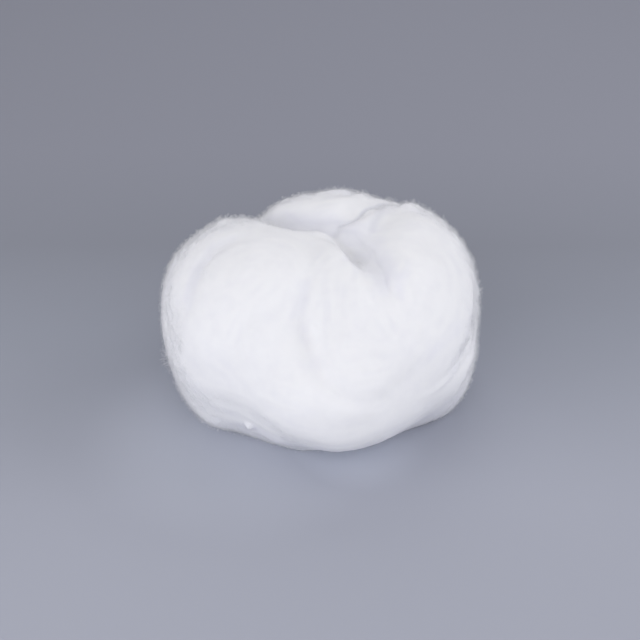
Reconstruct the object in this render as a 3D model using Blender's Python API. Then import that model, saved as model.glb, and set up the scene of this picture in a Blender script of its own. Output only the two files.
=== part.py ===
"""Quartz wool: one loose wad of white fleece, folded in on itself, at rest on a flat surface.

Units are metres and +Z is up. The wad rests on Z = 0 with its middle over the origin, and
its front, where the last fold is tucked in, faces -Y. It is one closed skin: soft lobes
blend into a body around its heart, folds are pressed into it along lines, and the foot is
flat where the fleece has settled.
"""

from collections import namedtuple

import bmesh
import bpy
import numpy as np
from mathutils import Vector, noise

Lobe = namedtuple("Lobe", "middle half turn")
Fold = namedtuple("Fold", "half_width lean line")

# Lobes of fleece: middle, half sizes along their own axes, and turn about Z in degrees
LEFT_LOBE_MIDDLE = (-0.033, -0.001, 0.053)
LEFT_LOBE_HALF = (0.054, 0.064, 0.057)
LEFT_LOBE_TURN_DEG = 17
BACK_LOBE_MIDDLE = (0.007, 0.036, 0.058)
BACK_LOBE_HALF = (0.052, 0.046, 0.052)
BACK_LOBE_TURN_DEG = 6
RIGHT_LOBE_MIDDLE = (0.035, 0.005, 0.055)
RIGHT_LOBE_HALF = (0.056, 0.073, 0.058)
RIGHT_LOBE_TURN_DEG = -8
FRONT_LOBE_MIDDLE = (0.008, -0.033, 0.045)
FRONT_LOBE_HALF = (0.051, 0.053, 0.039)
FRONT_LOBE_TURN_DEG = -30
LOW_RIGHT_LOBE_MIDDLE = (0.052, -0.006, 0.024)
LOW_RIGHT_LOBE_HALF = (0.038, 0.030, 0.032)
LOW_RIGHT_LOBE_TURN_DEG = 22
LOW_LEFT_LOBE_MIDDLE = (-0.045, -0.014, 0.017)
LOW_LEFT_LOBE_HALF = (0.028, 0.020, 0.020)
LOW_LEFT_LOBE_TURN_DEG = 30
CORE_LOBE_MIDDLE = (0.001, 0.008, 0.027)
CORE_LOBE_HALF = (0.063, 0.066, 0.049)
CORE_LOBE_TURN_DEG = 0
LEFT_LOBE = Lobe(LEFT_LOBE_MIDDLE, LEFT_LOBE_HALF, LEFT_LOBE_TURN_DEG)
BACK_LOBE = Lobe(BACK_LOBE_MIDDLE, BACK_LOBE_HALF, BACK_LOBE_TURN_DEG)
RIGHT_LOBE = Lobe(RIGHT_LOBE_MIDDLE, RIGHT_LOBE_HALF, RIGHT_LOBE_TURN_DEG)
FRONT_LOBE = Lobe(FRONT_LOBE_MIDDLE, FRONT_LOBE_HALF, FRONT_LOBE_TURN_DEG)
LOW_RIGHT_LOBE = Lobe(LOW_RIGHT_LOBE_MIDDLE, LOW_RIGHT_LOBE_HALF, LOW_RIGHT_LOBE_TURN_DEG)
LOW_LEFT_LOBE = Lobe(LOW_LEFT_LOBE_MIDDLE, LOW_LEFT_LOBE_HALF, LOW_LEFT_LOBE_TURN_DEG)
CORE_LOBE = Lobe(CORE_LOBE_MIDDLE, CORE_LOBE_HALF, CORE_LOBE_TURN_DEG)
OUTER_LOBES = (LEFT_LOBE, BACK_LOBE, RIGHT_LOBE, FRONT_LOBE)
LOBES = (*OUTER_LOBES, LOW_RIGHT_LOBE, LOW_LEFT_LOBE, CORE_LOBE)
# A lobe is fuller than an ellipsoid, whose value here would be 2
LOBE_FULLNESS = 2.2
# How softly neighbouring lobes run into each other
LOBE_BLEND = 0.004

# The heart lies midway between the four outer lobes, and the skin is drawn out from it
HEART = np.mean([lobe.middle for lobe in OUTER_LOBES], axis=0)
# Rows of faces along each edge of the cube that the skin starts from
SKIN_ROWS = 32
# Halvings that place the skin, to a fraction of a micron
HALVINGS = 24

# Folds: half width, the way that the fold leans under its neighbour, and the line that it is
# pressed along, as X, Y, Z near the skin and the depth there
PIT = (0.013, 0.020, 0.107)
VALLEY_HALF_WIDTH = 0.022
VALLEY_LEAN = (-0.2, 0.0, 0.0)
VALLEY_LINE = (
    (*PIT, 0.011),
    (0.021, 0.006, 0.109, 0.018),
    (0.028, -0.008, 0.109, 0.023),
    (0.031, -0.017, 0.107, 0.018),
    (0.035, -0.025, 0.106, 0.011),
    (0.038, -0.037, 0.102, 0.007),
    (0.041, -0.050, 0.095, 0.003),
)
RIGHT_HOLLOW_HALF_WIDTH = 0.022
RIGHT_HOLLOW_LINE = (
    (0.044, 0.034, 0.112, 0.003),
    (0.037, 0.018, 0.113, 0.008),
    (0.034, 0.000, 0.112, 0.010),
    (0.036, -0.016, 0.109, 0.006),
)
BACK_RIGHT_FOLD_HALF_WIDTH = 0.013
BACK_RIGHT_FOLD_LEAN = (0.0, -0.1, 0.0)
BACK_RIGHT_FOLD_LINE = (
    (*PIT, 0.011),
    (0.023, 0.032, 0.111, 0.009),
    (0.033, 0.042, 0.110, 0.009),
    (0.044, 0.049, 0.106, 0.009),
    (0.054, 0.056, 0.094, 0.007),
    (0.061, 0.062, 0.072, 0.002),
)
BACK_LEFT_FOLD_HALF_WIDTH = 0.016
BACK_LEFT_FOLD_LEAN = (0.0, -0.1, 0.0)
BACK_LEFT_FOLD_LINE = (
    (*PIT, 0.011),
    (0.001, 0.023, 0.106, 0.012),
    (-0.012, 0.025, 0.108, 0.013),
    (-0.025, 0.032, 0.104, 0.013),
    (-0.037, 0.043, 0.090, 0.010),
    (-0.043, 0.053, 0.066, 0.002),
)
FRONT_TUCK_HALF_WIDTH = 0.013
FRONT_TUCK_LINE = (
    (0.002, -0.024, 0.103, 0.000),
    (-0.008, -0.038, 0.097, 0.002),
    (-0.012, -0.048, 0.089, 0.005),
    (-0.010, -0.057, 0.081, 0.007),
    (-0.004, -0.070, 0.072, 0.006),
    (0.005, -0.078, 0.064, 0.004),
    (0.018, -0.080, 0.057, 0.003),
    (0.033, -0.075, 0.054, 0.002),
    (0.048, -0.065, 0.060, 0.001),
    (0.060, -0.052, 0.068, 0.000),
)
RIGHT_BAND_EDGE_HALF_WIDTH = 0.010
RIGHT_BAND_EDGE_LINE = (
    (0.088, -0.006, 0.062, 0.000),
    (0.086, -0.016, 0.056, 0.003),
    (0.084, -0.026, 0.053, 0.004),
    (0.076, -0.040, 0.050, 0.003),
    (0.066, -0.053, 0.047, 0.001),
    (0.054, -0.061, 0.044, 0.000),
)
LEFT_UNDERCUT_HALF_WIDTH = 0.011
LEFT_UNDERCUT_LEAN = (0.0, 0.0, 0.3)
LEFT_UNDERCUT_LINE = (
    (-0.062, -0.048, 0.030, 0.000),
    (-0.055, -0.055, 0.031, 0.002),
    (-0.045, -0.063, 0.032, 0.004),
    (-0.036, -0.068, 0.026, 0.004),
    (-0.028, -0.072, 0.021, 0.002),
    (-0.018, -0.077, 0.020, 0.000),
)
LEFT_LAYER_EDGE_HALF_WIDTH = 0.010
LEFT_LAYER_EDGE_LINE = (
    (-0.032, -0.002, 0.111, 0.000),
    (-0.048, -0.004, 0.110, 0.002),
    (-0.062, -0.009, 0.104, 0.0025),
    (-0.069, -0.019, 0.096, 0.0025),
    (-0.070, -0.032, 0.088, 0.0015),
    (-0.069, -0.044, 0.080, 0.000),
)
LEFT_WRINKLE_HALF_WIDTH = 0.009
LEFT_WRINKLE_LINE = (
    (-0.026, -0.051, 0.093, 0.0005),
    (-0.034, -0.056, 0.088, 0.0025),
    (-0.040, -0.060, 0.079, 0.0030),
    (-0.038, -0.066, 0.067, 0.0010),
)
FRONT_RIPPLE_HALF_WIDTH = 0.010
FRONT_RIPPLE_LINE = (
    (-0.006, -0.082, 0.050, 0.0000),
    (0.006, -0.084, 0.046, 0.0020),
    (0.022, -0.082, 0.044, 0.0025),
    (0.037, -0.074, 0.047, 0.0020),
    (0.052, -0.063, 0.054, 0.0000),
)
STRAIGHT_IN = (0.0, 0.0, 0.0)
FOLDS = (
    Fold(VALLEY_HALF_WIDTH, VALLEY_LEAN, VALLEY_LINE),
    Fold(RIGHT_HOLLOW_HALF_WIDTH, STRAIGHT_IN, RIGHT_HOLLOW_LINE),
    Fold(BACK_RIGHT_FOLD_HALF_WIDTH, BACK_RIGHT_FOLD_LEAN, BACK_RIGHT_FOLD_LINE),
    Fold(BACK_LEFT_FOLD_HALF_WIDTH, BACK_LEFT_FOLD_LEAN, BACK_LEFT_FOLD_LINE),
    Fold(FRONT_TUCK_HALF_WIDTH, STRAIGHT_IN, FRONT_TUCK_LINE),
    Fold(RIGHT_BAND_EDGE_HALF_WIDTH, STRAIGHT_IN, RIGHT_BAND_EDGE_LINE),
    Fold(LEFT_UNDERCUT_HALF_WIDTH, LEFT_UNDERCUT_LEAN, LEFT_UNDERCUT_LINE),
    Fold(LEFT_LAYER_EDGE_HALF_WIDTH, STRAIGHT_IN, LEFT_LAYER_EDGE_LINE),
    Fold(LEFT_WRINKLE_HALF_WIDTH, STRAIGHT_IN, LEFT_WRINKLE_LINE),
    Fold(FRONT_RIPPLE_HALF_WIDTH, STRAIGHT_IN, FRONT_RIPPLE_LINE),
)
# Steps that each stretch of a fold's line is smoothed into
FOLD_STEPS = 8
# The bottom of a fold is rounded by about this much
FOLD_ROUNDING = 0.0015
# Where folds meet, the deeper one counts, the more clearly the higher this is
FOLD_MERGE = 3

# Rounds of evening out that the skin gets once it is folded
SOFTENING_ROUNDS = 3

# Gentle unevenness of the hand-folded fleece
LUMP_HEIGHT = 0.0016
LUMP_LENGTH = 0.030

WOOL_COLOUR = (0.93, 0.94, 0.96, 1.0)
WOOL_ROUGHNESS = 0.95


def unit(vectors):
    """Vectors brought to a length of one."""
    return vectors / np.linalg.norm(vectors, axis=1)[:, None]


def lobe_distance(points, lobe):
    """About how far points lie outside a lobe; below zero inside it."""
    angle = np.radians(lobe.turn)
    turn = np.array(
        (
            (np.cos(angle), np.sin(angle), 0),
            (-np.sin(angle), np.cos(angle), 0),
            (0, 0, 1),
        )
    )
    local = np.abs((points - lobe.middle) @ turn.T) / lobe.half
    scaled = (local**LOBE_FULLNESS).sum(axis=1) ** (1 / LOBE_FULLNESS)
    return (scaled - 1) * np.mean(lobe.half)


def body_distance(points):
    """About how far points lie outside the blended lobes."""
    each = np.stack([lobe_distance(points, lobe) for lobe in LOBES])
    return -LOBE_BLEND * np.log(np.exp(-each / LOBE_BLEND).sum(axis=0))


def skin_points(directions):
    """Where rays from the heart leave the body, found by halving the stretch they lie in."""
    reaches = [np.linalg.norm(lobe.middle - HEART) + np.linalg.norm(lobe.half) for lobe in LOBES]
    near = np.zeros(len(directions))
    far = np.full(len(directions), max(reaches))
    for _ in range(HALVINGS):
        middle = (near + far) / 2
        inside = body_distance(HEART + directions * middle[:, None]) < 0
        near = np.where(inside, middle, near)
        far = np.where(inside, far, middle)
    return HEART + directions * near[:, None]


def smooth_line(line):
    """Points on a smooth cubic curve through every point of a line."""
    line = np.array(line)
    held = np.vstack((line[:1], line, line[-1:]))
    share = np.linspace(0, 1, FOLD_STEPS, endpoint=False)[:, None]
    stretches = []
    for before, first, last, after in zip(held, held[1:], held[2:], held[3:]):
        bend = (2 * before - 5 * first + 4 * last - after) * share**2
        twist = (3 * first - before - 3 * last + after) * share**3
        stretches.append(first + ((last - before) * share + bend + twist) / 2)
    return np.vstack((*stretches, line[-1:]))


def fold_press(points, directions, fold):
    """How far a fold moves each point: most on its line, and nothing past its width."""
    line = smooth_line(fold.line)
    on_skin = skin_points(unit(line[:, :3] - HEART))
    gaps = np.linalg.norm(points[:, None] - on_skin[None], axis=2)
    gap = np.hypot(gaps.min(axis=1), FOLD_ROUNDING) - FOLD_ROUNDING
    share = np.clip(1 - gap / fold.half_width, 0, 1)
    inward = unit(np.array(fold.lean) - directions)
    return inward * (line[gaps.argmin(axis=1), 3] * share**2)[:, None]


def fold_in(points, directions):
    """Presses all the folds into the skin."""
    presses = np.stack([fold_press(points, directions, fold) for fold in FOLDS])
    depths = np.linalg.norm(presses, axis=2)
    depth = (depths**FOLD_MERGE).sum(axis=0) ** (1 / FOLD_MERGE)
    together = (presses * depths[:, :, None]).sum(axis=0)
    length = np.maximum(np.linalg.norm(together, axis=1), 1e-12)
    return points + together * (depth / length)[:, None]


def wad_mesh():
    """The closed skin of the wad, before it settles."""
    mesh = bmesh.new()
    bmesh.ops.create_cube(mesh, size=2)
    bmesh.ops.subdivide_edges(
        mesh, edges=mesh.edges[:], cuts=SKIN_ROWS - 1, use_grid_fill=True
    )
    corners = np.array([vertex.co for vertex in mesh.verts])
    directions = unit(np.tan(corners * np.pi / 4))
    points = fold_in(skin_points(directions), directions)
    for vertex, point, out in zip(mesh.verts, points, directions):
        lump = noise.noise(Vector(point) / LUMP_LENGTH)
        vertex.co = Vector(point) + Vector(out) * (LUMP_HEIGHT * lump)
    for _ in range(SOFTENING_ROUNDS):
        bmesh.ops.smooth_vert(
            mesh, verts=mesh.verts, factor=0.5, use_axis_x=True, use_axis_y=True, use_axis_z=True
        )
    return mesh


def settle(mesh):
    """Cuts the foot flat at Z = 0 and puts the wad's middle over the origin."""
    cut = bmesh.ops.bisect_plane(
        mesh,
        geom=mesh.verts[:] + mesh.edges[:] + mesh.faces[:],
        plane_co=(0, 0, 0),
        plane_no=(0, 0, -1),
        clear_outer=True,
    )
    rim = [item for item in cut["geom_cut"] if isinstance(item, bmesh.types.BMEdge)]
    bmesh.ops.edgeloop_fill(mesh, edges=rim)
    points = np.array([vertex.co for vertex in mesh.verts])
    middle = (points.min(axis=0) + points.max(axis=0)) / 2
    bmesh.ops.translate(mesh, verts=mesh.verts, vec=(-middle[0], -middle[1], 0))
    bmesh.ops.recalc_face_normals(mesh, faces=mesh.faces)


def wool_material():
    """Matt white, a little cool, as fine clear fibres look in a mass."""
    material = bpy.data.materials.new("quartz_wool")
    material.use_nodes = True
    shader = material.node_tree.nodes["Principled BSDF"]
    shader.inputs["Base Color"].default_value = WOOL_COLOUR
    shader.inputs["Roughness"].default_value = WOOL_ROUGHNESS
    shader.inputs["Metallic"].default_value = 0
    return material


def main():
    for thing in list(bpy.data.objects):
        bpy.data.objects.remove(thing)
    skin = wad_mesh()
    settle(skin)
    mesh = bpy.data.meshes.new("wool_wad")
    skin.to_mesh(mesh)
    skin.free()
    mesh.materials.append(wool_material())
    mesh.shade_smooth()
    wad = bpy.data.objects.new("wool_wad", mesh)
    bpy.context.scene.collection.objects.link(wad)


main()
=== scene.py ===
"""Quartz wool: one loose wad of fine white fleece, at rest on a plain pale grey floor.

The CAD solid is the frame. A finer skin takes its place and keeps its form: the facets are
rounded, the folds drawn tight, and faint lumps and combed streaks raised on it. Fine fibres
lie over that skin along its grain, and their free ends make the soft outline. Lengths are in
metres, the wad's front faces -Y, and it rests on Z = 0.
"""

import math
from collections import namedtuple

import bpy
import numpy as np
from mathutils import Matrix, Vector, noise
from mathutils.bvhtree import BVHTree


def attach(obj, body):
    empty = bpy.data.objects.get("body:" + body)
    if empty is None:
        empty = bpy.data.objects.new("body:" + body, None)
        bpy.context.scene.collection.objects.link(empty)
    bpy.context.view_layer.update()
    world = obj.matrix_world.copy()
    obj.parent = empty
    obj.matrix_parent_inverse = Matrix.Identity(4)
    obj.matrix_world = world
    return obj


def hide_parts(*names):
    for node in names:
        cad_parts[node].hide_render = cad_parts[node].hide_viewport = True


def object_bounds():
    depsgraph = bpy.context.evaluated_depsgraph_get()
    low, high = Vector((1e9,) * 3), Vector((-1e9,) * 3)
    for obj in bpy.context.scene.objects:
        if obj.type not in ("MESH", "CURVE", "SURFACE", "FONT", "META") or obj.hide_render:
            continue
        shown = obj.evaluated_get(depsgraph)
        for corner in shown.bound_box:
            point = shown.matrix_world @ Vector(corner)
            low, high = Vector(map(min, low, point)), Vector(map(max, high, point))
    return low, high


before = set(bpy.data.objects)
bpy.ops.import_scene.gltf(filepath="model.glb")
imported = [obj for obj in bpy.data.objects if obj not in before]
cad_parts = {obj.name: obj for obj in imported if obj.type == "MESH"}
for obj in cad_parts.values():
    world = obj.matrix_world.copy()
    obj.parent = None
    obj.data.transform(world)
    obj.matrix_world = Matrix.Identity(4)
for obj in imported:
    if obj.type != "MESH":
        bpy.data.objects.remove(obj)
cad_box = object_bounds()

MM = 0.001
# A length or a weight that something is divided by is held above this
TINY = 1e-12

# The photograph's eye: its height above the floor's plane in degrees, its distance, the real
# width that one pixel covers at the wad's middle, and the picture's side in pixels
EYE_HEIGHT_DEG = 34.0
EYE_DISTANCE = 1.0
PIXEL = 0.5688 * MM
PICTURE_SIDE = 640
SENSOR_WIDTH = 36.0
# How far the eye looks below the middle of the wad's height
EYE_DROP = 0.9 * MM

# The skin: doubles nearer than this are one point, and each face is halved this often
WELD = 0.001 * MM
SKIN_HALVINGS = 2

# Rolls that the fibres are wound round: a point on the axis, the axis, and how far its pull
# reaches
Roll = namedtuple("Roll", "middle axis reach")
ROLLS = (
    Roll((-0.034, -0.020, 0.075), (0.1, -0.6, 0.8), 0.060),
    Roll((0.045, -0.010, 0.070), (0.0, -0.55, 0.8), 0.060),
    Roll((0.008, 0.050, 0.060), (0.0, 0.5, 0.85), 0.050),
    Roll((0.0, 0.0, 0.0), (0.0, 0.0, 1.0), 0.075),
)

# How far part.py's settling moved the wad, whose folds' lines are given as part.py has them
SETTLED = (-1.9 * MM, 1.7 * MM, 0.0)
# Folds: points near the skin along each, its reach to either side, how much its lips are
# drawn together, how deep its line is pressed and how far its lips are puffed up. A press
# below zero raises the line instead.
Fold = namedtuple("Fold", "line reach pinch press puff")
PIT = (0.013, 0.020, 0.107)
VALLEY = Fold(
    (
        PIT,
        (0.021, 0.006, 0.109),
        (0.028, -0.008, 0.109),
        (0.031, -0.017, 0.107),
        (0.035, -0.025, 0.106),
        (0.038, -0.037, 0.102),
        (0.041, -0.050, 0.095),
    ),
    6.0 * MM, 0.20, 0.6 * MM, 0.2 * MM,
)
BACK_RIGHT = Fold(
    (
        PIT,
        (0.0132, 0.0223, 0.1028),
        (0.0188, 0.0236, 0.1053),
        (0.0234, 0.0280, 0.1067),
        (0.0287, 0.0368, 0.1048),
        (0.0341, 0.0443, 0.1024),
        (0.0396, 0.0518, 0.0993),
        (0.0500, 0.0570, 0.0930),
        (0.0610, 0.0620, 0.0720),
    ),
    4.0 * MM, 0.15, 1.3 * MM, 0.1 * MM,
)
BACK_LEFT = Fold(
    (
        PIT,
        (0.001, 0.023, 0.106),
        (-0.012, 0.025, 0.108),
        (-0.025, 0.032, 0.104),
        (-0.037, 0.043, 0.090),
        (-0.043, 0.053, 0.066),
    ),
    6.0 * MM, 0.15, 0.3 * MM, 0.1 * MM,
)
FRONT_TUCK = Fold(
    (
        (0.002, -0.024, 0.103),
        (-0.008, -0.038, 0.097),
        (-0.012, -0.048, 0.089),
        (-0.010, -0.057, 0.081),
        (-0.004, -0.070, 0.072),
        (0.005, -0.078, 0.064),
        (0.018, -0.080, 0.057),
        (0.033, -0.075, 0.054),
        (0.048, -0.065, 0.060),
        (0.060, -0.052, 0.068),
    ),
    9.0 * MM, 0.15, 0.3 * MM, 0.2 * MM,
)
RIGHT_LAYER = Fold(
    (
        (0.088, -0.006, 0.062),
        (0.086, -0.016, 0.056),
        (0.084, -0.026, 0.053),
        (0.076, -0.040, 0.050),
        (0.066, -0.053, 0.047),
        (0.054, -0.061, 0.044),
    ),
    9.0 * MM, 0.0, -0.9 * MM, 0.0,
)
LEFT_LAYER = Fold(
    (
        (-0.032, -0.002, 0.111),
        (-0.048, -0.004, 0.110),
        (-0.062, -0.009, 0.104),
        (-0.069, -0.019, 0.096),
        (-0.070, -0.032, 0.088),
        (-0.069, -0.044, 0.080),
    ),
    8.0 * MM, 0.05, 0.1 * MM, 0.1 * MM,
)
LEFT_UNDERCUT = Fold(
    (
        (-0.062, -0.048, 0.030),
        (-0.055, -0.055, 0.031),
        (-0.045, -0.063, 0.032),
        (-0.036, -0.068, 0.026),
        (-0.028, -0.072, 0.021),
        (-0.018, -0.077, 0.020),
    ),
    14.0 * MM, 0.0, -0.6 * MM, 0.0,
)
LEFT_WRINKLE = Fold(
    (
        (-0.026, -0.051, 0.093),
        (-0.034, -0.056, 0.088),
        (-0.040, -0.060, 0.079),
        (-0.038, -0.066, 0.067),
    ),
    6.0 * MM, 0.15, 0.25 * MM, 0.2 * MM,
)
FOLDS = (
    VALLEY,
    BACK_RIGHT,
    BACK_LEFT,
    FRONT_TUCK,
    RIGHT_LAYER,
    LEFT_LAYER,
    LEFT_UNDERCUT,
    LEFT_WRINKLE,
)
# Lines along which shade is painted where no fold is drawn: where the right lobe rises beside
# the pit, its facet beside the valley, and a broad band down the right lobe
RIGHT_RISE_LINE = (
    (0.0440, 0.0590, 0.0952),
    (0.0407, 0.0493, 0.0988),
    (0.0358, 0.0265, 0.1082),
    (0.0334, 0.0201, 0.1074),
    (0.0304, 0.0104, 0.1054),
    (0.0280, 0.0014, 0.1024),
)
RIGHT_FACET_LINE = (
    (0.014, 0.024, 0.104),
    (0.022, 0.016, 0.104),
    (0.026, 0.006, 0.102),
    (0.027, -0.004, 0.100),
)
RIGHT_BAND_LINE = (
    (0.0882, -0.0090, 0.0693),
    (0.0785, -0.0353, 0.0737),
    (0.0667, -0.0522, 0.0708),
    (0.0529, -0.0628, 0.0651),
)
# Painted shade: a darker tint painted along creases and hollows where shade falls: the line,
# the reach and how much
PaintedShade = namedtuple("PaintedShade", "line reach depth")
PAINTED_SHADES = (
    PaintedShade(VALLEY.line, 9.0 * MM, 0.30),
    PaintedShade(BACK_RIGHT.line, 1.4 * MM, 0.75),
    PaintedShade(BACK_LEFT.line, 8.0 * MM, 0.45),
    PaintedShade(FRONT_TUCK.line[:6], 4.0 * MM, 0.10),
    PaintedShade(RIGHT_RISE_LINE, 3.0 * MM, 0.35),
    PaintedShade(RIGHT_FACET_LINE, 7.0 * MM, 0.25),
    PaintedShade(RIGHT_BAND_LINE, 9.0 * MM, 0.12),
    PaintedShade(RIGHT_LAYER.line, 2.0 * MM, 0.12),
    PaintedShade(LEFT_LAYER.line, 6.0 * MM, 0.20),
)
# Painted shade near the floor, darker towards the bottom: up to this much, under this height
LOW_PAINTED_SHADE = 0.55
LOW_SHADE_HEIGHT = 34 * MM
# The painted shade near the floor is left off the foot's left corner, which stands out into
# the light: its middle and reach
LIT_CORNER = ((-0.0700, -0.0300, 0.0200), 0.032)
# Painted shade on wool that faces away from the front, where the hand didn't smooth it: up to
# this much
FAR_PAINTED_SHADE = 0.10
# Points that each stretch of a fold's line is split into
LINE_STEPS = 10
# A fold fades in and out over this share of its line
FOLD_FADE = 0.25
# Shares of a fold's reach: how far its line is pressed in, where its lips stand highest, and
# how broad they are
PRESS_SHARE = 0.3
LIP_PLACE = 0.8
LIP_BREADTH = 0.12
# How strongly a fold combs the fibres beside it, and how far, against the rolls' own pull
FOLD_COMB = 3.0
FOLD_COMB_REACH = 9.0 * MM
# Rounds of evening that smooth the grain's turns
GRAIN_EVENINGS = 12

# Each kind of noise is read from its own part of space, this far off in lumps
GRAIN_SHIFT = 7.0
LUMP_SHIFT = 3.0
PUFF_SHIFT = 5.0
STREAK_SHIFT = 11.0
# Unevenness of hand-folded fleece: height and length of each kind of lump
LUMPS = ((0.7 * MM, 20 * MM), (0.25 * MM, 9 * MM))
# Rounded puffs with fine creases between them: height and width of each kind
PUFFS = ((3.2 * MM, 10 * MM), (0.6 * MM, 5 * MM))
# Puffs are pressed flat towards the floor, under this height
PUFF_HEIGHT = 85 * MM
# Combed streaks of fibre: height, rounds of combing, and length of the noise they start from
STREAKS = ((0.012 * MM, 36, 0.4 * MM), (0.035 * MM, 60, 3.5 * MM))
# The value at each point that tints the streaks: its mean, and its usual spread about that
STREAK_MEAN = 0.5
STREAK_SPREAD = 0.2
# Where the streaks stand out more: how much, the middle and the reach
STREAKY = (
    (1.6, (0.078, -0.030, 0.060), 0.030),
    (1.2, (-0.072, 0.000, 0.095), 0.030),
)
# The hand smoothed the front and top. This is the way it faced, the shares of facing it
# between which the wool goes from loose to smooth, and how smooth it gets
SMOOTHED_WAY = (0.05, -0.78, 0.62)
SMOOTHED_FROM = 0.15
SMOOTHED_TO = 0.60
SMOOTHED = 0.92
# Where the wool is looser, or calmer below zero: how much, the middle and the reach
LOOSE_PLACES = (
    # The foot at the right and the front
    (-1.0, (0.065, -0.050, 0.015), 0.045),
    (-0.8, (0.000, -0.075, 0.010), 0.045),
    # The left side, and the foot's left corner
    (-0.6, (-0.088, -0.005, 0.050), 0.040),
    (-0.7, (-0.048, -0.062, 0.018), 0.024),
    # The left lobe's shoulder
    (0.3, (-0.055, 0.030, 0.095), 0.035),
    # The pit
    (-0.9, (0.005, 0.020, 0.105), 0.030),
)
# No wool is less loose than this
LEAST_LOOSE = 0.05
# How sharply combing keeps to the grain
COMB_KEENNESS = 12
# The grain wanders by up to this much, over about this length
GRAIN_WANDER_DEG = 24
GRAIN_WANDER_LENGTH = 26 * MM
# Wool under this height sinks by up to this much, so the lower edge hugs the floor
SINK_HEIGHT = 14 * MM
SINK = 1.6 * MM
# The rounded skin is moved out a little to fill its solid, and in where the wool is loose, to
# leave room for the puffs and fibres over it
MOVE_OUT = 0.8 * MM
DRAW_IN_LOOSE = 1.9 * MM

# Places where the solid's own folds are softened before any is drawn tight: the middle, the
# reach and the rounds of evening
SOFTENED = (
    # The undercut at the left
    ((-0.062, -0.045, 0.026), 0.018, 250),
    ((-0.045, -0.062, 0.026), 0.018, 250),
    ((-0.022, -0.070, 0.018), 0.020, 300),
    # The crease behind the pit, which is drawn further forward
    ((0.023, 0.034, 0.108), 0.009, 150),
    ((0.036, 0.046, 0.106), 0.010, 150),
)

# Places drawn out of the skin or along it: the middle, how far the draw reaches, and the draw
Tuft = namedtuple("Tuft", "middle reach draw")
TUFTS = (
    # The foot stands further out: its front, its left side, its left corner, and its right side
    Tuft((0.0200, -0.0750, 0.0100), 40.0 * MM, (0.4 * MM, -1.7 * MM, -0.2 * MM)),
    Tuft((-0.0700, -0.0200, 0.0180), 22.0 * MM, (-2.6 * MM, -1.6 * MM, 0.0)),
    Tuft((-0.0590, -0.0420, 0.0060), 12.0 * MM, (-1.2 * MM, -1.6 * MM, 0.0)),
    Tuft((0.0850, -0.0200, 0.0420), 25.0 * MM, (1.4 * MM, 0.0, 0.0)),
    # The back lobe lies lower, and the pit and the crease behind it go deeper
    Tuft((0.0000, 0.0450, 0.1080), 28.0 * MM, (0.0, 0.0, -2.8 * MM)),
    Tuft((0.0060, 0.0100, 0.1040), 9.0 * MM, (-1.6 * MM, -0.8 * MM, -2.0 * MM)),
    Tuft((0.0210, 0.0300, 0.1070), 7.0 * MM, (0.0, -0.3 * MM, -2.2 * MM)),
    # The notch in the lower left edge
    Tuft((-0.0450, -0.0580, 0.0050), 13.0 * MM, (1.0 * MM, 5.0 * MM, 0.0)),
    # The front tuck lies further right
    Tuft((-0.0100, -0.0450, 0.0920), 15.0 * MM, (3.0 * MM, 0.0, 0.0)),
    Tuft((-0.0080, -0.0620, 0.0780), 15.0 * MM, (3.0 * MM, 0.0, 0.0)),
    # The small bright tuft at the lower left, and the flap beside it
    Tuft((-0.0392, -0.0564, 0.0215), 2.4 * MM, (-0.8 * MM, -2.4 * MM, -1.2 * MM)),
    Tuft((-0.0250, -0.0600, 0.0120), 9.0 * MM, (-0.3 * MM, -1.4 * MM, -1.2 * MM)),
    # Small tufts along the top edge
    Tuft((0.0000, 0.0574, 0.1061), 4.0 * MM, (0.0, 0.6 * MM, 1.2 * MM)),
    Tuft((0.0496, 0.0420, 0.1045), 5.0 * MM, (0.2 * MM, 0.6 * MM, 1.6 * MM)),
    Tuft((0.0633, 0.0437, 0.0992), 4.0 * MM, (0.6 * MM, 0.6 * MM, 1.2 * MM)),
    Tuft((-0.0520, 0.0300, 0.1000), 4.0 * MM, (-0.4 * MM, 0.4 * MM, 1.0 * MM)),
)

# The colour sockets of a Mix node, whose names its number sockets have too
MIX_A = 6
MIX_B = 7
MIX_COLOUR = 2


def linear(code):
    """A colour's linear values, from its sRGB hex code, by the sRGB standard's own curve."""
    parts = [int(code[i : i + 2], 16) / 255 for i in (0, 2, 4)]
    curve = [p / 12.92 if p <= 0.04045 else ((p + 0.055) / 1.055) ** 2.4 for p in parts]
    return (*curve, 1.0)


def add_node(tree, kind, settings=None, values=None, links=None):
    """Adds one node with its settings, its input values, and links into its inputs."""
    node = tree.nodes.new(kind)
    for name, value in (settings or {}).items():
        setattr(node, name, value)
    for name, value in (values or {}).items():
        node.inputs[name].default_value = value
    for name, source in (links or {}).items():
        tree.links.new(source, node.inputs[name])
    return node


def select_only(piece):
    """Selects one object alone and makes it the active one."""
    bpy.ops.object.select_all(action="DESELECT")
    piece.select_set(True)
    bpy.context.view_layer.objects.active = piece


def unit(vectors):
    """Vectors brought to a length of one."""
    return vectors / np.maximum(np.linalg.norm(vectors, axis=-1, keepdims=True), TINY)


def dot(one, other):
    """The product of two rows of vectors, one number for each, kept as a column."""
    return (one * other).sum(axis=-1, keepdims=True)


# The skin of the fleece


def fleece_skin():
    """A copy of the wad's solid, welded, its facets rounded out to a fine even skin."""
    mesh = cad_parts["wool_wad"].data.copy()
    mesh.name = "fleece"
    fleece = bpy.data.objects.new("fleece", mesh)
    bpy.context.scene.collection.objects.link(fleece)
    select_only(fleece)
    bpy.ops.object.mode_set(mode="EDIT")
    bpy.ops.mesh.select_all(action="SELECT")
    bpy.ops.mesh.remove_doubles(threshold=WELD)
    bpy.ops.mesh.tris_convert_to_quads()
    bpy.ops.object.mode_set(mode="OBJECT")
    rounding = fleece.modifiers.new("rounding", "SUBSURF")
    rounding.levels = rounding.render_levels = SKIN_HALVINGS
    bpy.ops.object.modifier_apply(modifier="rounding")
    return fleece


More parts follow.
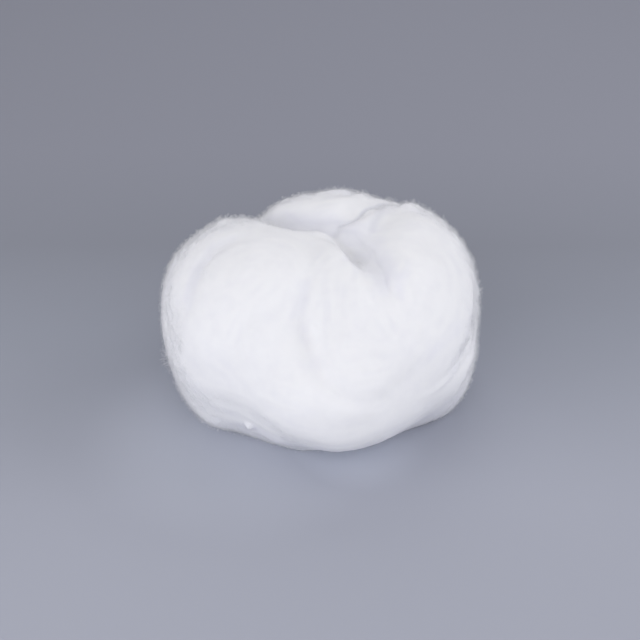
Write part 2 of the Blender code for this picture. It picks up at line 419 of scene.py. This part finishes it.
class Skin:
    """The fleece's points and how they are joined, for shaping them all at once. Every face
    has four corners, as halving leaves them."""

    def __init__(self, mesh):
        self.mesh = mesh
        self.points = np.empty(len(mesh.vertices) * 3)
        mesh.vertices.foreach_get("co", self.points)
        self.points = self.points.reshape(-1, 3)
        corners = np.empty(len(mesh.loops), int)
        mesh.loops.foreach_get("vertex_index", corners)
        self.faces = corners.reshape(-1, 4)
        sides = [self.faces[:, pair] for pair in ((0, 1), (1, 2), (2, 3), (3, 0))]
        across = [self.faces[:, pair] for pair in ((0, 2), (1, 3))]
        self.edges = np.vstack(sides)
        self.edges = np.vstack((self.edges, self.edges[:, ::-1]))
        across = np.vstack(across)
        self.ties = np.vstack((self.edges, across, across[:, ::-1]))

    def settle(self):
        """Puts the points back into the mesh, which works out its normals afresh."""
        self.mesh.vertices.foreach_set("co", self.points.ravel())
        self.mesh.update()

    def normals(self):
        """The outward direction at each point."""
        self.settle()
        out = np.empty(len(self.points) * 3)
        self.mesh.vertex_normals.foreach_get("vector", out)
        return out.reshape(-1, 3)

    def gathered(self, ties, weights, values):
        """For each point, the weighted mean of the values at the points tied to it."""
        count = len(self.points)
        total = np.bincount(ties[:, 0], weights, count)
        columns = [
            np.bincount(ties[:, 0], weights * column[ties[:, 1]], count) for column in values.T
        ]
        return np.stack(columns, axis=1) / np.maximum(total, TINY)[:, None]

    def evened(self, values, rounds):
        """Values evened out between neighbours."""
        alike = np.ones(len(self.edges))
        for _ in range(rounds):
            values = (values + self.gathered(self.edges, alike, values)) / 2
        return values

    def combed(self, values, grain, rounds):
        """Values drawn out along the grain, as combing draws out fibres."""
        way = unit(self.points[self.ties[:, 1]] - self.points[self.ties[:, 0]])
        along = np.abs(dot(way, grain[self.ties[:, 0]]))[:, 0] ** COMB_KEENNESS
        for _ in range(rounds):
            values = (values + self.gathered(self.ties, along, values)) / 2
        return values

    def field(self, length, shift=0.0):
        """Smooth noise at each point, from about -1 to 1, with lumps about that long, read from
        a part of space that far off."""
        away = Vector((shift, 2 * shift, -shift))
        return np.array([noise.noise(Vector(p) / length + away) for p in self.points.tolist()])

    def puffs(self, length, shift):
        """Rounded puffs about that wide at each point, from 0 in their creases up."""
        return np.abs(self.field(length, shift))


def smooth_line(line):
    """Points on a smooth curve through every point of a line: a cubic from each point to the
    next, which leaves a point in the direction from the one before it to the one after."""
    line = np.array(line)
    held = np.vstack((line[:1], line, line[-1:]))
    share = np.linspace(0, 1, LINE_STEPS, endpoint=False)[:, None]
    stretches = []
    for before, first, last, after in zip(held, held[1:], held[2:], held[3:]):
        bend = (2 * before - 5 * first + 4 * last - after) * share**2
        twist = (3 * first - before - 3 * last + after) * share**3
        stretches.append(first + ((last - before) * share + bend + twist) / 2)
    return np.vstack((*stretches, line[-1:]))


def eased(share):
    """A share held between 0 and 1, eased in and out."""
    share = np.clip(share, 0, 1)
    return share * share * (3 - 2 * share)


def tree_of(skin):
    """A search tree for the nearest place on the skin."""
    return BVHTree.FromPolygons(skin.points.tolist(), skin.faces.tolist())


def nearest_on_line(skin, line, tree):
    """For each point of the skin: its gap to a line laid on the skin, the step to it, the line's
    own direction there, and how far along the line that is, from 0 to 1."""
    points = smooth_line(line) + SETTLED
    laid = np.array([tree.find_nearest(Vector(p))[0] for p in points])
    gaps = np.full(len(skin.points), np.inf)
    nearest = np.zeros(len(skin.points), int)
    for index, place in enumerate(laid):
        gap = np.linalg.norm(skin.points - place, axis=1)
        nearer = gap < gaps
        gaps[nearer] = gap[nearer]
        nearest[nearer] = index
    ways = unit(np.gradient(laid, axis=0))
    return gaps, laid[nearest] - skin.points, ways[nearest], nearest / (len(laid) - 1)


def draw_tight(skin, fold, tree):
    """Draws a fold's lips together over its line, presses the line in and puffs the lips."""
    normals = skin.normals()
    gaps, step, ways, along = nearest_on_line(skin, fold.line, tree)
    ends = np.abs(dot(unit(step), ways))[:, 0]
    fade = eased(np.minimum(along, 1 - along) / FOLD_FADE)
    share = np.exp(-((gaps / fold.reach) ** 2)) * (1 - ends**2)
    side = step - dot(step, normals) * normals
    near = np.exp(-((gaps / (PRESS_SHARE * fold.reach)) ** 2))
    lip = np.exp(-(((gaps / fold.reach) - LIP_PLACE) ** 2) / LIP_BREADTH)
    rise = (fold.puff * lip - fold.press * near) * fade
    pinch = fold.pinch * share * fade
    skin.points = skin.points + side * pinch[:, None] + normals * rise[:, None]


def grain_of(skin, tree):
    """The way that the fibres lie at each point: round each roll, and along the folds."""
    normals = skin.normals()
    pulls = np.zeros((len(skin.points), 3, 3))

    def comb(ways, weights):
        ways = unit(ways - dot(ways, normals) * normals)
        pulls[:] += ways[:, :, None] * ways[:, None, :] * weights[:, None, None]

    for roll in ROLLS:
        away = skin.points - roll.middle
        round_axis = np.cross(unit(np.array(roll.axis)), unit(away))
        near = np.exp(-((np.linalg.norm(away, axis=1) / roll.reach) ** 2))
        comb(round_axis, near * (round_axis**2).sum(axis=1))
    for fold in FOLDS:
        gaps, _, ways, _ = nearest_on_line(skin, fold.line, tree)
        comb(ways, FOLD_COMB * np.exp(-((gaps / FOLD_COMB_REACH) ** 2)))
    pulls = skin.evened(pulls.reshape(-1, 9), GRAIN_EVENINGS).reshape(-1, 3, 3)
    strongest = np.linalg.eigh(pulls)[1][:, :, -1]
    grain = unit(strongest - dot(strongest, normals) * normals)
    wander = skin.field(GRAIN_WANDER_LENGTH, GRAIN_SHIFT)
    turn = np.radians(GRAIN_WANDER_DEG) * wander[:, None]
    return unit(grain * np.cos(turn) + np.cross(normals, grain) * np.sin(turn))


def nearness(points, middle, reach):
    """How near points lie to a place, from 1 there down to 0 well past its reach."""
    return np.exp(-((np.linalg.norm(points - middle, axis=1) / reach) ** 2))


def smoothness(normals):
    """How far the hand smoothed wool that faces these ways, from 0 to 1."""
    facing = dot(normals, unit(np.array(SMOOTHED_WAY)))[:, 0]
    return eased((facing - SMOOTHED_FROM) / (SMOOTHED_TO - SMOOTHED_FROM))


def looseness(points, normals):
    """How loose and high the wool stands at points, against the mean."""
    smooth = smoothness(normals)
    loose = 1 - SMOOTHED * smooth
    for more, *place in LOOSE_PLACES:
        loose = loose + more * (1 - SMOOTHED * smooth) * nearness(points, *place)
    return np.maximum(loose, LEAST_LOOSE)


def painted_shade_of(skin, tree):
    """How much painted shade each point gets, from 0 to 1: along the folds, near the floor and
    where it faces away from the front.
    """
    shade = np.zeros(len(skin.points))
    for line, reach, depth in PAINTED_SHADES:
        gaps, _, _, along = nearest_on_line(skin, line, tree)
        from_end = 1 - along if line[0] == PIT else np.minimum(along, 1 - along)
        near = depth * np.exp(-((gaps / reach) ** 2)) * eased(from_end / FOLD_FADE)
        shade = np.maximum(shade, near)
    low = LOW_PAINTED_SHADE * eased(1 - skin.points[:, 2] / LOW_SHADE_HEIGHT)
    low *= 1 - nearness(skin.points, *LIT_CORNER)
    far = FAR_PAINTED_SHADE * (1 - smoothness(skin.normals()))
    return np.maximum(np.maximum(shade, low), far)


def fit_skin(skin, loose):
    """Fills the solid's rounded corners, leaves room for loose wool, sinks the foot onto the
    floor and softens folds that lie in the wrong place."""
    skin.points = skin.points + skin.normals() * (MOVE_OUT - DRAW_IN_LOOSE * loose)[:, None]
    low = np.clip(1 - skin.points[:, 2] / SINK_HEIGHT, 0, 1)
    skin.points[:, 2] -= SINK * low
    for middle, reach, rounds in SOFTENED:
        near = nearness(skin.points, middle, reach)[:, None]
        skin.points = skin.points + near * (skin.evened(skin.points, rounds) - skin.points)


def relief_of(skin, grain, loose):
    """How high the lumps, puffs and streaks stand at each point, and the broad streaks alone."""
    rise = sum(
        height * skin.field(length, LUMP_SHIFT * index)
        for index, (height, length) in enumerate(LUMPS)
    )
    puffy = np.minimum(loose, 1) * eased(skin.points[:, 2] / PUFF_HEIGHT)
    for index, (height, length) in enumerate(PUFFS):
        rise = rise + height * puffy * skin.puffs(length, PUFF_SHIFT + index)
    streaky = 1 + sum(more * nearness(skin.points, *place) for more, *place in STREAKY)
    for index, (height, rounds, length) in enumerate(STREAKS):
        start = skin.field(length, STREAK_SHIFT + index)[:, None]
        combed = skin.combed(start, grain, rounds)[:, 0]
        combed /= combed.std()
        rise = rise + height * streaky * combed
    return rise, combed


def mark(mesh, name, values):
    """Keeps a value at each point for the material to read."""
    mesh.attributes.new(name, "FLOAT", "POINT").data.foreach_set("value", values)


def shape_fleece(fleece):
    """Tightens the folds and raises the lumps, streaks and tufts. Gives back the skin and its
    grain."""
    skin = Skin(fleece.data)
    loose = looseness(skin.points, skin.normals())
    fit_skin(skin, loose)
    tree = tree_of(skin)
    for fold in FOLDS:
        draw_tight(skin, fold, tree)
    shade = painted_shade_of(skin, tree)
    grain = grain_of(skin, tree)
    rise, streaks = relief_of(skin, grain, loose)
    skin.points = skin.points + skin.normals() * rise[:, None]
    for tuft in TUFTS:
        near = nearness(skin.points, tuft.middle, tuft.reach)[:, None]
        skin.points = skin.points + near * np.array(tuft.draw)
    skin.points[:, 2] = np.maximum(skin.points[:, 2], 0)
    skin.settle()
    mark(fleece.data, "streak", np.clip(STREAK_MEAN + STREAK_SPREAD * streaks, 0, 1))
    mark(fleece.data, "painted_shade", shade)
    return skin, grain


# The fibres


Lay = namedtuple("Lay", "count arch length thickness spread rise")
# How high a fibre stands along its way, as shares of its own height
SHORT_ARCH = (-0.1, 1.0, -0.1)
LONG_ARCH = (-0.2, 0.7, 1.0, 0.85, 0.4)
# Kinds of fibre: how many, the arch, mean length, thickness, spread about the grain in degrees,
# and mean height. Real ones are a hundredth of a millimetre thick, so these are drawn thicker
# and fewer.
LAYS = {
    "fuzz_low": Lay(30000, SHORT_ARCH, 4.5 * MM, 0.11 * MM, 90, 0.6 * MM),
    "fuzz_mid": Lay(30000, SHORT_ARCH, 4.5 * MM, 0.11 * MM, 90, 0.9 * MM),
    "fuzz_high": Lay(30000, SHORT_ARCH, 4.5 * MM, 0.11 * MM, 90, 1.2 * MM),
    "stray_fibres": Lay(3000, LONG_ARCH, 8 * MM, 0.09 * MM, 60, 0.7 * MM),
}
# Fibres bend by about this much at each stretch, start about this far from a face's middle,
# and are between these two shares of the mean length
FIBRE_BEND_DEG = 12
FIBRE_SCATTER = 0.4 * MM
FIBRE_LENGTHS = (0.6, 1.5)
# The turns, in radians, at which a fibre's three edges lie round it
EDGE_TURNS = (0.5 * math.pi, 0.5 * math.pi + 2.1, 0.5 * math.pi + 4.2)
EDGES = len(EDGE_TURNS)
# Fibres stand in clumps: how strongly, and how wide those are
CLUMPING = 1.8
CLUMP_WIDTH = 2.8 * MM
# No fibres stand where the wool is smoother than this
BARE_BELOW = 0.12
# No fibre stands higher than this where the wool is as loose as the mean
HIGHEST = 3.0 * MM
# Wisps that stand off the skin: how much higher and how much denser, the middle and the reach
WISPS = ((3.0, 0.6, (-0.0850, -0.0120, 0.0370), 0.004),)
# Each kind of fibre has its own dice, from this seed up
FIRST_SEED = 41


def clumps(points):
    """How high fibres stand at points against the mean, in clumps."""
    return np.exp([CLUMPING * noise.noise(Vector(p) / CLUMP_WIDTH) for p in points.tolist()])


def fibre_paths(skin, grain, tree, lay, dice):
    """Lines of fibres over the skin, and the outward direction along each."""
    corners = skin.points[skin.faces]
    middles = corners.mean(axis=1)
    spans = np.cross(corners[:, 2] - corners[:, 0], corners[:, 3] - corners[:, 1])
    high = looseness(middles, unit(spans))
    share = np.linalg.norm(spans, axis=1) * np.maximum(high - BARE_BELOW, 0)
    for higher, denser, *place in WISPS:
        near = nearness(middles, *place)
        share = share * (1 + denser * near)
        high = high + higher * near
    starts = dice.choice(len(share), lay.count, p=share / share.sum())
    face_grain = grain[skin.faces[:, 0]]
    place = middles[starts] + dice.normal(0, FIBRE_SCATTER, (lay.count, 3))
    steps = len(lay.arch) - 1
    step = (lay.length / steps * dice.uniform(*FIBRE_LENGTHS, lay.count))[:, None]
    turn = np.radians(dice.normal(0, lay.spread, lay.count))[:, None]
    bend = np.radians(dice.normal(0, FIBRE_BEND_DEG, lay.count))[:, None]
    way = face_grain[starts] * dice.choice((-1.0, 1.0), lay.count)[:, None]
    rise = dice.exponential(lay.rise, lay.count) * high[starts] * clumps(place)
    rise = np.minimum(rise, HIGHEST * np.sqrt(high[starts]))[:, None]
    paths, outs = [], []
    for share in lay.arch:
        found = [tree.find_nearest(p)[:3] for p in place.tolist()]
        spot = np.array([f[0][:] for f in found])
        normal = np.array([f[1][:] for f in found])
        lie = face_grain[[f[2] for f in found]]
        paths.append(spot + normal * rise * share)
        outs.append(normal)
        way = np.where(dot(lie, way) < 0, -lie, lie)
        place = spot + unit(way * np.cos(turn) + np.cross(normal, way) * np.sin(turn)) * step
        turn = turn + bend
    return np.stack(paths, axis=1), np.stack(outs, axis=1)


def fibre_mesh(name, paths, outs, thickness):
    """Closed three-sided fibres that taper to a point at both ends."""
    count, stops = paths.shape[:2]
    ways = unit(np.gradient(paths, axis=1))
    sides = unit(np.cross(outs, ways))
    ups = np.cross(ways, sides)
    inner = slice(1, stops - 1)
    rings = []
    for turn in EDGE_TURNS:
        reach = (sides * math.cos(turn) + ups * math.sin(turn)) * thickness / 2
        rings.append((paths + reach)[:, inner])
    rings = np.stack(rings, axis=2).reshape(count, -1, 3)
    points = np.concatenate((paths[:, :1], rings, paths[:, -1:]), axis=1)
    each = points.shape[1]
    last = each - 1
    turns = [(edge, (edge + 1) % EDGES) for edge in range(EDGES)]
    faces = [(0, 1 + edge, 1 + other) for edge, other in turns]
    # The rings between the two points are joined to one another
    for low in range(1, last - EDGES, EDGES):
        high = low + EDGES
        for edge, other in turns:
            faces.append((low + edge, high + edge, high + other))
            faces.append((low + edge, high + other, low + other))
    faces += [(last, last - EDGES + other, last - EDGES + edge) for edge, other in turns]
    faces = np.array(faces)
    all_faces = (faces[None] + np.arange(count)[:, None, None] * each).reshape(-1, 3)
    mesh = bpy.data.meshes.new(name)
    mesh.vertices.add(count * each)
    mesh.vertices.foreach_set("co", points.reshape(-1))
    mesh.loops.add(len(all_faces) * 3)
    mesh.loops.foreach_set("vertex_index", all_faces.reshape(-1))
    mesh.polygons.add(len(all_faces))
    mesh.polygons.foreach_set("loop_start", np.arange(len(all_faces)) * 3)
    mesh.update(calc_edges=True)
    mesh.validate()
    mesh.shade_smooth()
    return mesh


# The finishes

# Silica's own bend of light, and how little its dull fibres gleam
SILICA_IOR = 1.46
SILICA_GLEAM = 0.2
# Clouds of uneven whiteness in the wool, about as wide as a pinch of it
CLOUD_LENGTH = 9 * MM
# How much the combed streaks tint the wool, against the clouds
STREAK_TINT = 0.6
# The wool's tints from dull to bright, each with the cloud and streak value that it stands at
WOOL_TINTS = ((0.45, "f4f4f9"), (1.0, "fafafd"))
# The painted shade's tint, mixed in along the folds, near the floor and away from the front
PAINTED_SHADE_TINT = "cfd0d6"
# Fibre ends on the skin. Real ones are a hundredth of a millimetre wide, which wouldn't show,
# so they are drawn this much coarser.
FUZZ_LENGTH = 0.7 * MM
FUZZ_HEIGHT = 0.12 * MM
FUZZ_STRENGTH = 0.3


def wool_material():
    """Fused silica fibres in a mass: matt white, light sinks in a little and comes out soft."""
    material = bpy.data.materials.new("fused silica fleece")
    material.use_nodes = True
    tree = material.node_tree
    shader = tree.nodes["Principled BSDF"]
    place = add_node(tree, "ShaderNodeTexCoord").outputs["Object"]
    streak = add_node(tree, "ShaderNodeAttribute", {"attribute_name": "streak"})
    cloud = add_node(
        tree, "ShaderNodeTexNoise", values={"Scale": 1 / CLOUD_LENGTH}, links={"Vector": place}
    )
    blend = add_node(
        tree,
        "ShaderNodeMath",
        {"operation": "MULTIPLY_ADD"},
        {1: STREAK_TINT},
        {0: streak.outputs["Fac"], 2: cloud.outputs["Fac"]},
    )
    tint = add_node(tree, "ShaderNodeValToRGB", links={"Fac": blend.outputs["Value"]})
    for stop, (value, colour) in zip(tint.color_ramp.elements, WOOL_TINTS):
        stop.position = value
        stop.color = linear(colour)
    # The painted shade darkens the wool's tint towards the painted shade's tint
    fold = add_node(tree, "ShaderNodeAttribute", {"attribute_name": "painted_shade"})
    shaded = add_node(
        tree,
        "ShaderNodeMix",
        {"data_type": "RGBA"},
        {MIX_B: linear(PAINTED_SHADE_TINT)},
        {"Factor": fold.outputs["Fac"], MIX_A: tint.outputs["Color"]},
    )
    fuzz = add_node(
        tree,
        "ShaderNodeTexNoise",
        values={"Scale": 1 / FUZZ_LENGTH, "Detail": 3.0},
        links={"Vector": place},
    )
    relief = add_node(
        tree,
        "ShaderNodeBump",
        values={"Strength": FUZZ_STRENGTH, "Distance": FUZZ_HEIGHT},
        links={"Height": fuzz.outputs["Fac"]},
    )
    tree.links.new(shaded.outputs[MIX_COLOUR], shader.inputs["Base Color"])
    tree.links.new(relief.outputs["Normal"], shader.inputs["Normal"])
    finish_silica(shader, roughness=0.95, sinking=0.8, depth=6 * MM)
    return material


def finish_silica(shader, roughness, sinking, depth):
    """Silica's gleam, how dull it is, the share of light that sinks into it, and how deep."""
    shader.inputs["Roughness"].default_value = roughness
    shader.inputs["IOR"].default_value = SILICA_IOR
    shader.inputs["Specular IOR Level"].default_value = SILICA_GLEAM
    shader.inputs["Subsurface Weight"].default_value = sinking
    shader.inputs["Subsurface Radius"].default_value = (1.0, 1.0, 1.0)
    shader.inputs["Subsurface Scale"].default_value = depth


def fibre_material():
    """Single silica fibres: clear glass threads that let light through and read as soft white.
    Each is thinner than a pixel, so it has one tint, and the unevenness that the eye sees comes
    from how they clump."""
    material = bpy.data.materials.new("fused silica fibre")
    material.use_nodes = True
    shader = material.node_tree.nodes["Principled BSDF"]
    shader.inputs["Base Color"].default_value = linear("fafbfe")
    finish_silica(shader, roughness=0.7, sinking=1.0, depth=0.5 * MM)
    return material


def dress(piece, material):
    """Gives a piece its finish and the body it rides on."""
    piece.data.materials.clear()
    piece.data.materials.append(material)
    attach(piece, "root")


fleece = fleece_skin()
fleece.data.shade_smooth()
skin, grain = shape_fleece(fleece)
dress(fleece, wool_material())
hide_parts("wool_wad")

surface = tree_of(skin)
fibre_finish = fibre_material()
for index, (name, lay) in enumerate(LAYS.items()):
    dice = np.random.default_rng(FIRST_SEED + index)
    paths, outs = fibre_paths(skin, grain, surface, lay, dice)
    piece = bpy.data.objects.new(name, fibre_mesh(name, paths, outs, lay.thickness))
    bpy.context.scene.collection.objects.link(piece)
    dress(piece, fibre_finish)
    # Clear fibres let the light past, so they throw no shadow of note
    piece.visible_shadow = False

# The studio


# Painted light: the paper is painted paler at the front and darker behind, as the lamps' light
# falls off across it
# The floor's paleness from front to back, as in the photograph: the distance and the colour
FLOOR_FALLOFF_TINTS = ((-0.10, "abaeb9"), (0.07, "9da1ac"), (0.17, "92959f"), (0.30, "9799a4"))
FLOOR_SIDE = 12
# Painted light: pools of light that the wool passes on are painted into the paper at its front
# and left: the middle, the two reaches between which it fades, and how far it goes towards the
# glow's colour
PaintedGlow = namedtuple("PaintedGlow", "middle near far depth")
PAINTED_GLOWS = (
    PaintedGlow((0.012, -0.040, 0.0), 0.012, 0.055, 0.7),
    PaintedGlow((-0.050, -0.045, 0.0), 0.025, 0.095, 0.4),
)
PAINTED_GLOW_COLOUR = "ccd1dc"


def floor_material():
    """Matt grey paper, painted paler at the front and darker towards the back as the light falls
    off, with painted pools of light beside the wool.
    """
    material = bpy.data.materials.new("grey sweep")
    material.use_nodes = True
    tree = material.node_tree
    shader = tree.nodes["Principled BSDF"]
    place = add_node(tree, "ShaderNodeTexCoord").outputs["Object"]
    parts = add_node(tree, "ShaderNodeSeparateXYZ", links={"Vector": place})
    front, back = FLOOR_FALLOFF_TINTS[0][0], FLOOR_FALLOFF_TINTS[-1][0]
    share = add_node(
        tree,
        "ShaderNodeMapRange",
        values={"From Min": front, "From Max": back},
        links={"Value": parts.outputs["Y"]},
    )
    tint = add_node(tree, "ShaderNodeValToRGB", links={"Fac": share.outputs["Result"]})
    stops = tint.color_ramp.elements
    # A ramp starts with two stops, and each stop gets its own place below
    for _ in FLOOR_FALLOFF_TINTS[2:]:
        stops.new(0.5)
    for stop, (distance, colour) in zip(stops, FLOOR_FALLOFF_TINTS):
        stop.position = (distance - front) / (back - front)
        stop.color = linear(colour)
    glow = None
    for middle, near, far, depth in PAINTED_GLOWS:
        gap = add_node(
            tree, "ShaderNodeVectorMath", {"operation": "DISTANCE"}, {1: middle}, {0: place}
        )
        share = add_node(
            tree,
            "ShaderNodeMapRange",
            {"interpolation_type": "SMOOTHSTEP"},
            {"From Min": far, "From Max": near, "To Max": depth},
            {"Value": gap.outputs["Value"]},
        )
        strongest = add_node(
            tree,
            "ShaderNodeMath",
            {"operation": "MAXIMUM"},
            {1: 0.0},
            {0: share.outputs["Result"]},
        )
        # The stronger of this glow and those before it
        if glow:
            tree.links.new(glow, strongest.inputs[1])
        glow = strongest.outputs["Value"]
    colour = add_node(
        tree,
        "ShaderNodeMix",
        {"data_type": "RGBA"},
        {MIX_B: linear(PAINTED_GLOW_COLOUR)},
        {"Factor": glow, MIX_A: tint.outputs["Color"]},
    )
    tree.links.new(colour.outputs[MIX_COLOUR], shader.inputs["Base Color"])
    shader.inputs["Roughness"].default_value = 0.9
    return material


def lay_floor():
    """A wide plain floor."""
    bpy.ops.object.select_all(action="DESELECT")
    bpy.ops.mesh.primitive_plane_add(size=FLOOR_SIDE)
    floor = bpy.context.active_object
    floor.name = "floor"
    floor.data.materials.append(floor_material())


# Soft round lamps: name, turn about the wad and height in degrees, and power in watts
LAMPS = (
    ("left_low", -65, 20, 4.0),
    ("left_high", -65, 50, 0.6),
    ("front_left", -30, 30, 2.5),
    ("front_low", 0, 12, 0.5),
    ("front", 0, 35, 1.6),
    ("front_right", 30, 12, 1.8),
    ("right_low", 65, 20, 2.0),
    ("right_back", 100, 30, 3.8),
    ("back", 180, 45, 2.4),
)
LAMP_COLOUR = "fafaff"
LAMP_DISTANCE = 1.2
LAMP_SIZE = 0.9
LAMP_AIM = Vector((0, 0, 0.05))
# Pale light from all round, about a third of what would show as white
ROOM_COLOUR = "eeeef2"
ROOM_STRENGTH = 0.36


def hang_lamp(name, turn_deg, height_deg, power):
    """A broad soft lamp that faces the wad."""
    data = bpy.data.lights.new(name, "AREA")
    data.shape = "DISK"
    data.size = LAMP_SIZE
    data.energy = power
    data.color = linear(LAMP_COLOUR)[:3]
    lamp = bpy.data.objects.new(name, data)
    bpy.context.scene.collection.objects.link(lamp)
    turn, height = math.radians(turn_deg), math.radians(height_deg)
    away = Vector(
        (math.sin(turn) * math.cos(height), -math.cos(turn) * math.cos(height), math.sin(height))
    )
    lamp.location = LAMP_AIM + away * LAMP_DISTANCE
    lamp.rotation_euler = (-away).to_track_quat("-Z", "Y").to_euler()


def light_room():
    """Even pale light from all round, and soft lamps about the wad."""
    world = bpy.data.worlds.new("studio")
    bpy.context.scene.world = world
    world.use_nodes = True
    background = world.node_tree.nodes["Background"]
    background.inputs["Color"].default_value = linear(ROOM_COLOUR)
    background.inputs["Strength"].default_value = ROOM_STRENGTH
    for lamp in LAMPS:
        hang_lamp(*lamp)


def set_eye():
    """The photograph's viewpoint and framing."""
    middle = Vector((0, 0, (cad_box[0].z + cad_box[1].z) / 2 - EYE_DROP))
    height = math.radians(EYE_HEIGHT_DEG)
    back = Vector((0, -math.cos(height), math.sin(height)))
    data = bpy.data.cameras.new("eye")
    data.sensor_width = SENSOR_WIDTH
    data.lens = SENSOR_WIDTH * EYE_DISTANCE / (PIXEL * PICTURE_SIDE)
    eye = bpy.data.objects.new("eye", data)
    bpy.context.scene.collection.objects.link(eye)
    eye.location = middle + back * EYE_DISTANCE
    eye.rotation_euler = (-back).to_track_quat("-Z", "Y").to_euler()
    bpy.context.scene.camera = eye


lay_floor()
light_room()
set_eye()
bpy.context.scene.view_settings.view_transform = "Standard"
